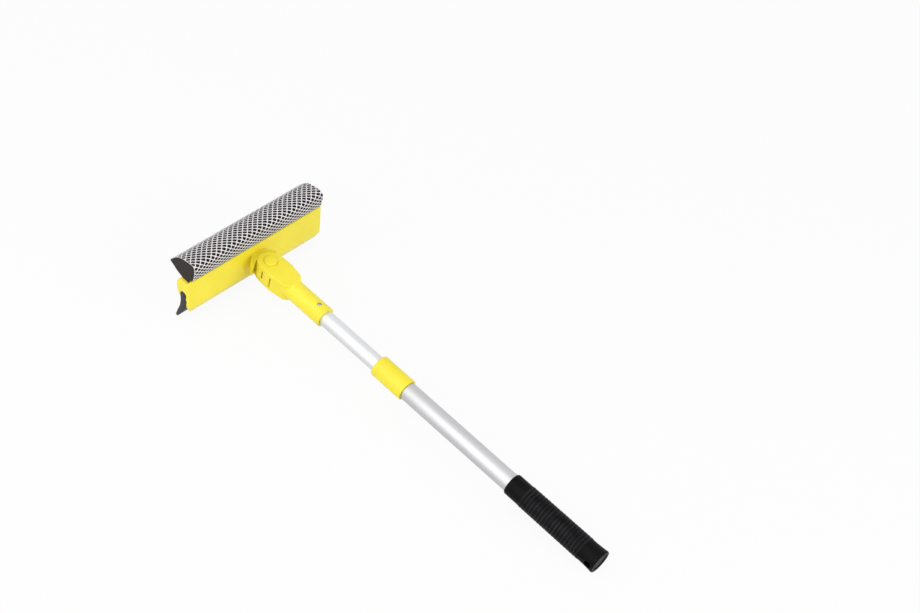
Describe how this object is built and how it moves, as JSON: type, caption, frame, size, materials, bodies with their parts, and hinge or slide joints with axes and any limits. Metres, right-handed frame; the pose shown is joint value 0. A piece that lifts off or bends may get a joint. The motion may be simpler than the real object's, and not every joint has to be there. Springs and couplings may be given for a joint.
{
  "type": "telescopic squeegee",
  "caption": "Window squeegee with a net-covered sponge and a rubber blade on a swivel head, and a telescopic twist-lock pole with a ribbed grip.",
  "frame": {"origin": "centre of the bounding box's bottom, level with the blade's tip and half way from the grip's end to the sponge's front", "axes": "+X along the head, +Y along the pole from the grip to the head, +Z along the swivel's axis, with the sponge up and the blade down"},
  "size_m": [0.2034, 0.5722, 0.0924],
  "materials": {
    "yellow_plastic": "satin",
    "blade_rubber": "satin",
    "black_rubber": "matte",
    "dark_foam": "matte",
    "white_net": "matte",
    "satin_aluminium": "satin",
    "zinc_steel": "satin",
    "grey_plastic": "matte"
  },
  "bodies": {
    "pole": {"outer_tube": "satin_aluminium", "collar": "yellow_plastic", "grip": "black_rubber", "tube_end_plug": "grey_plastic"},
    "cam": {"lock_cam": "black_rubber"},
    "inner_pole": {"inner_tube": "satin_aluminium", "cam_plug": "grey_plastic", "cam_pin": "zinc_steel", "cam_washer": "zinc_steel", "cam_screw": "zinc_steel", "swivel_knuckle": "yellow_plastic", "socket_screw": "zinc_steel"},
    "head": {"head_frame": "yellow_plastic", "sponge_core": "dark_foam", "net_cover": "white_net", "rubber_blade": "blade_rubber", "pivot_plug": "grey_plastic", "button_spring": "zinc_steel"},
    "button": {"lock_button": "yellow_plastic", "pivot_screw": "zinc_steel", "pivot_washer": "zinc_steel"}
  },
  "joints": [
    {"name": "tube_slide", "type": "slide", "parent": "pole", "child": "cam", "axis": [0, 1, 0], "range_m": [0, 0.215]},
    {"name": "tube_twist", "type": "hinge", "parent": "cam", "child": "inner_pole", "pos_m": [0, 0, 0.0467], "axis": [0, 1, 0], "range_deg": [0, 30]},
    {"name": "head_swivel", "type": "hinge", "parent": "inner_pole", "child": "head", "pos_m": [0, 0.22485, 0.0467], "axis": [0, 0, 1], "range_deg": [-60.5, 60.5]},
    {"name": "button_press", "type": "slide", "parent": "head", "child": "button", "axis": [0, 0, -1], "range_m": [0, 0.003], "stiffness_N_per_m": 800, "springref_m": -0.003, "deforming": ["button_spring"]}
  ]
}
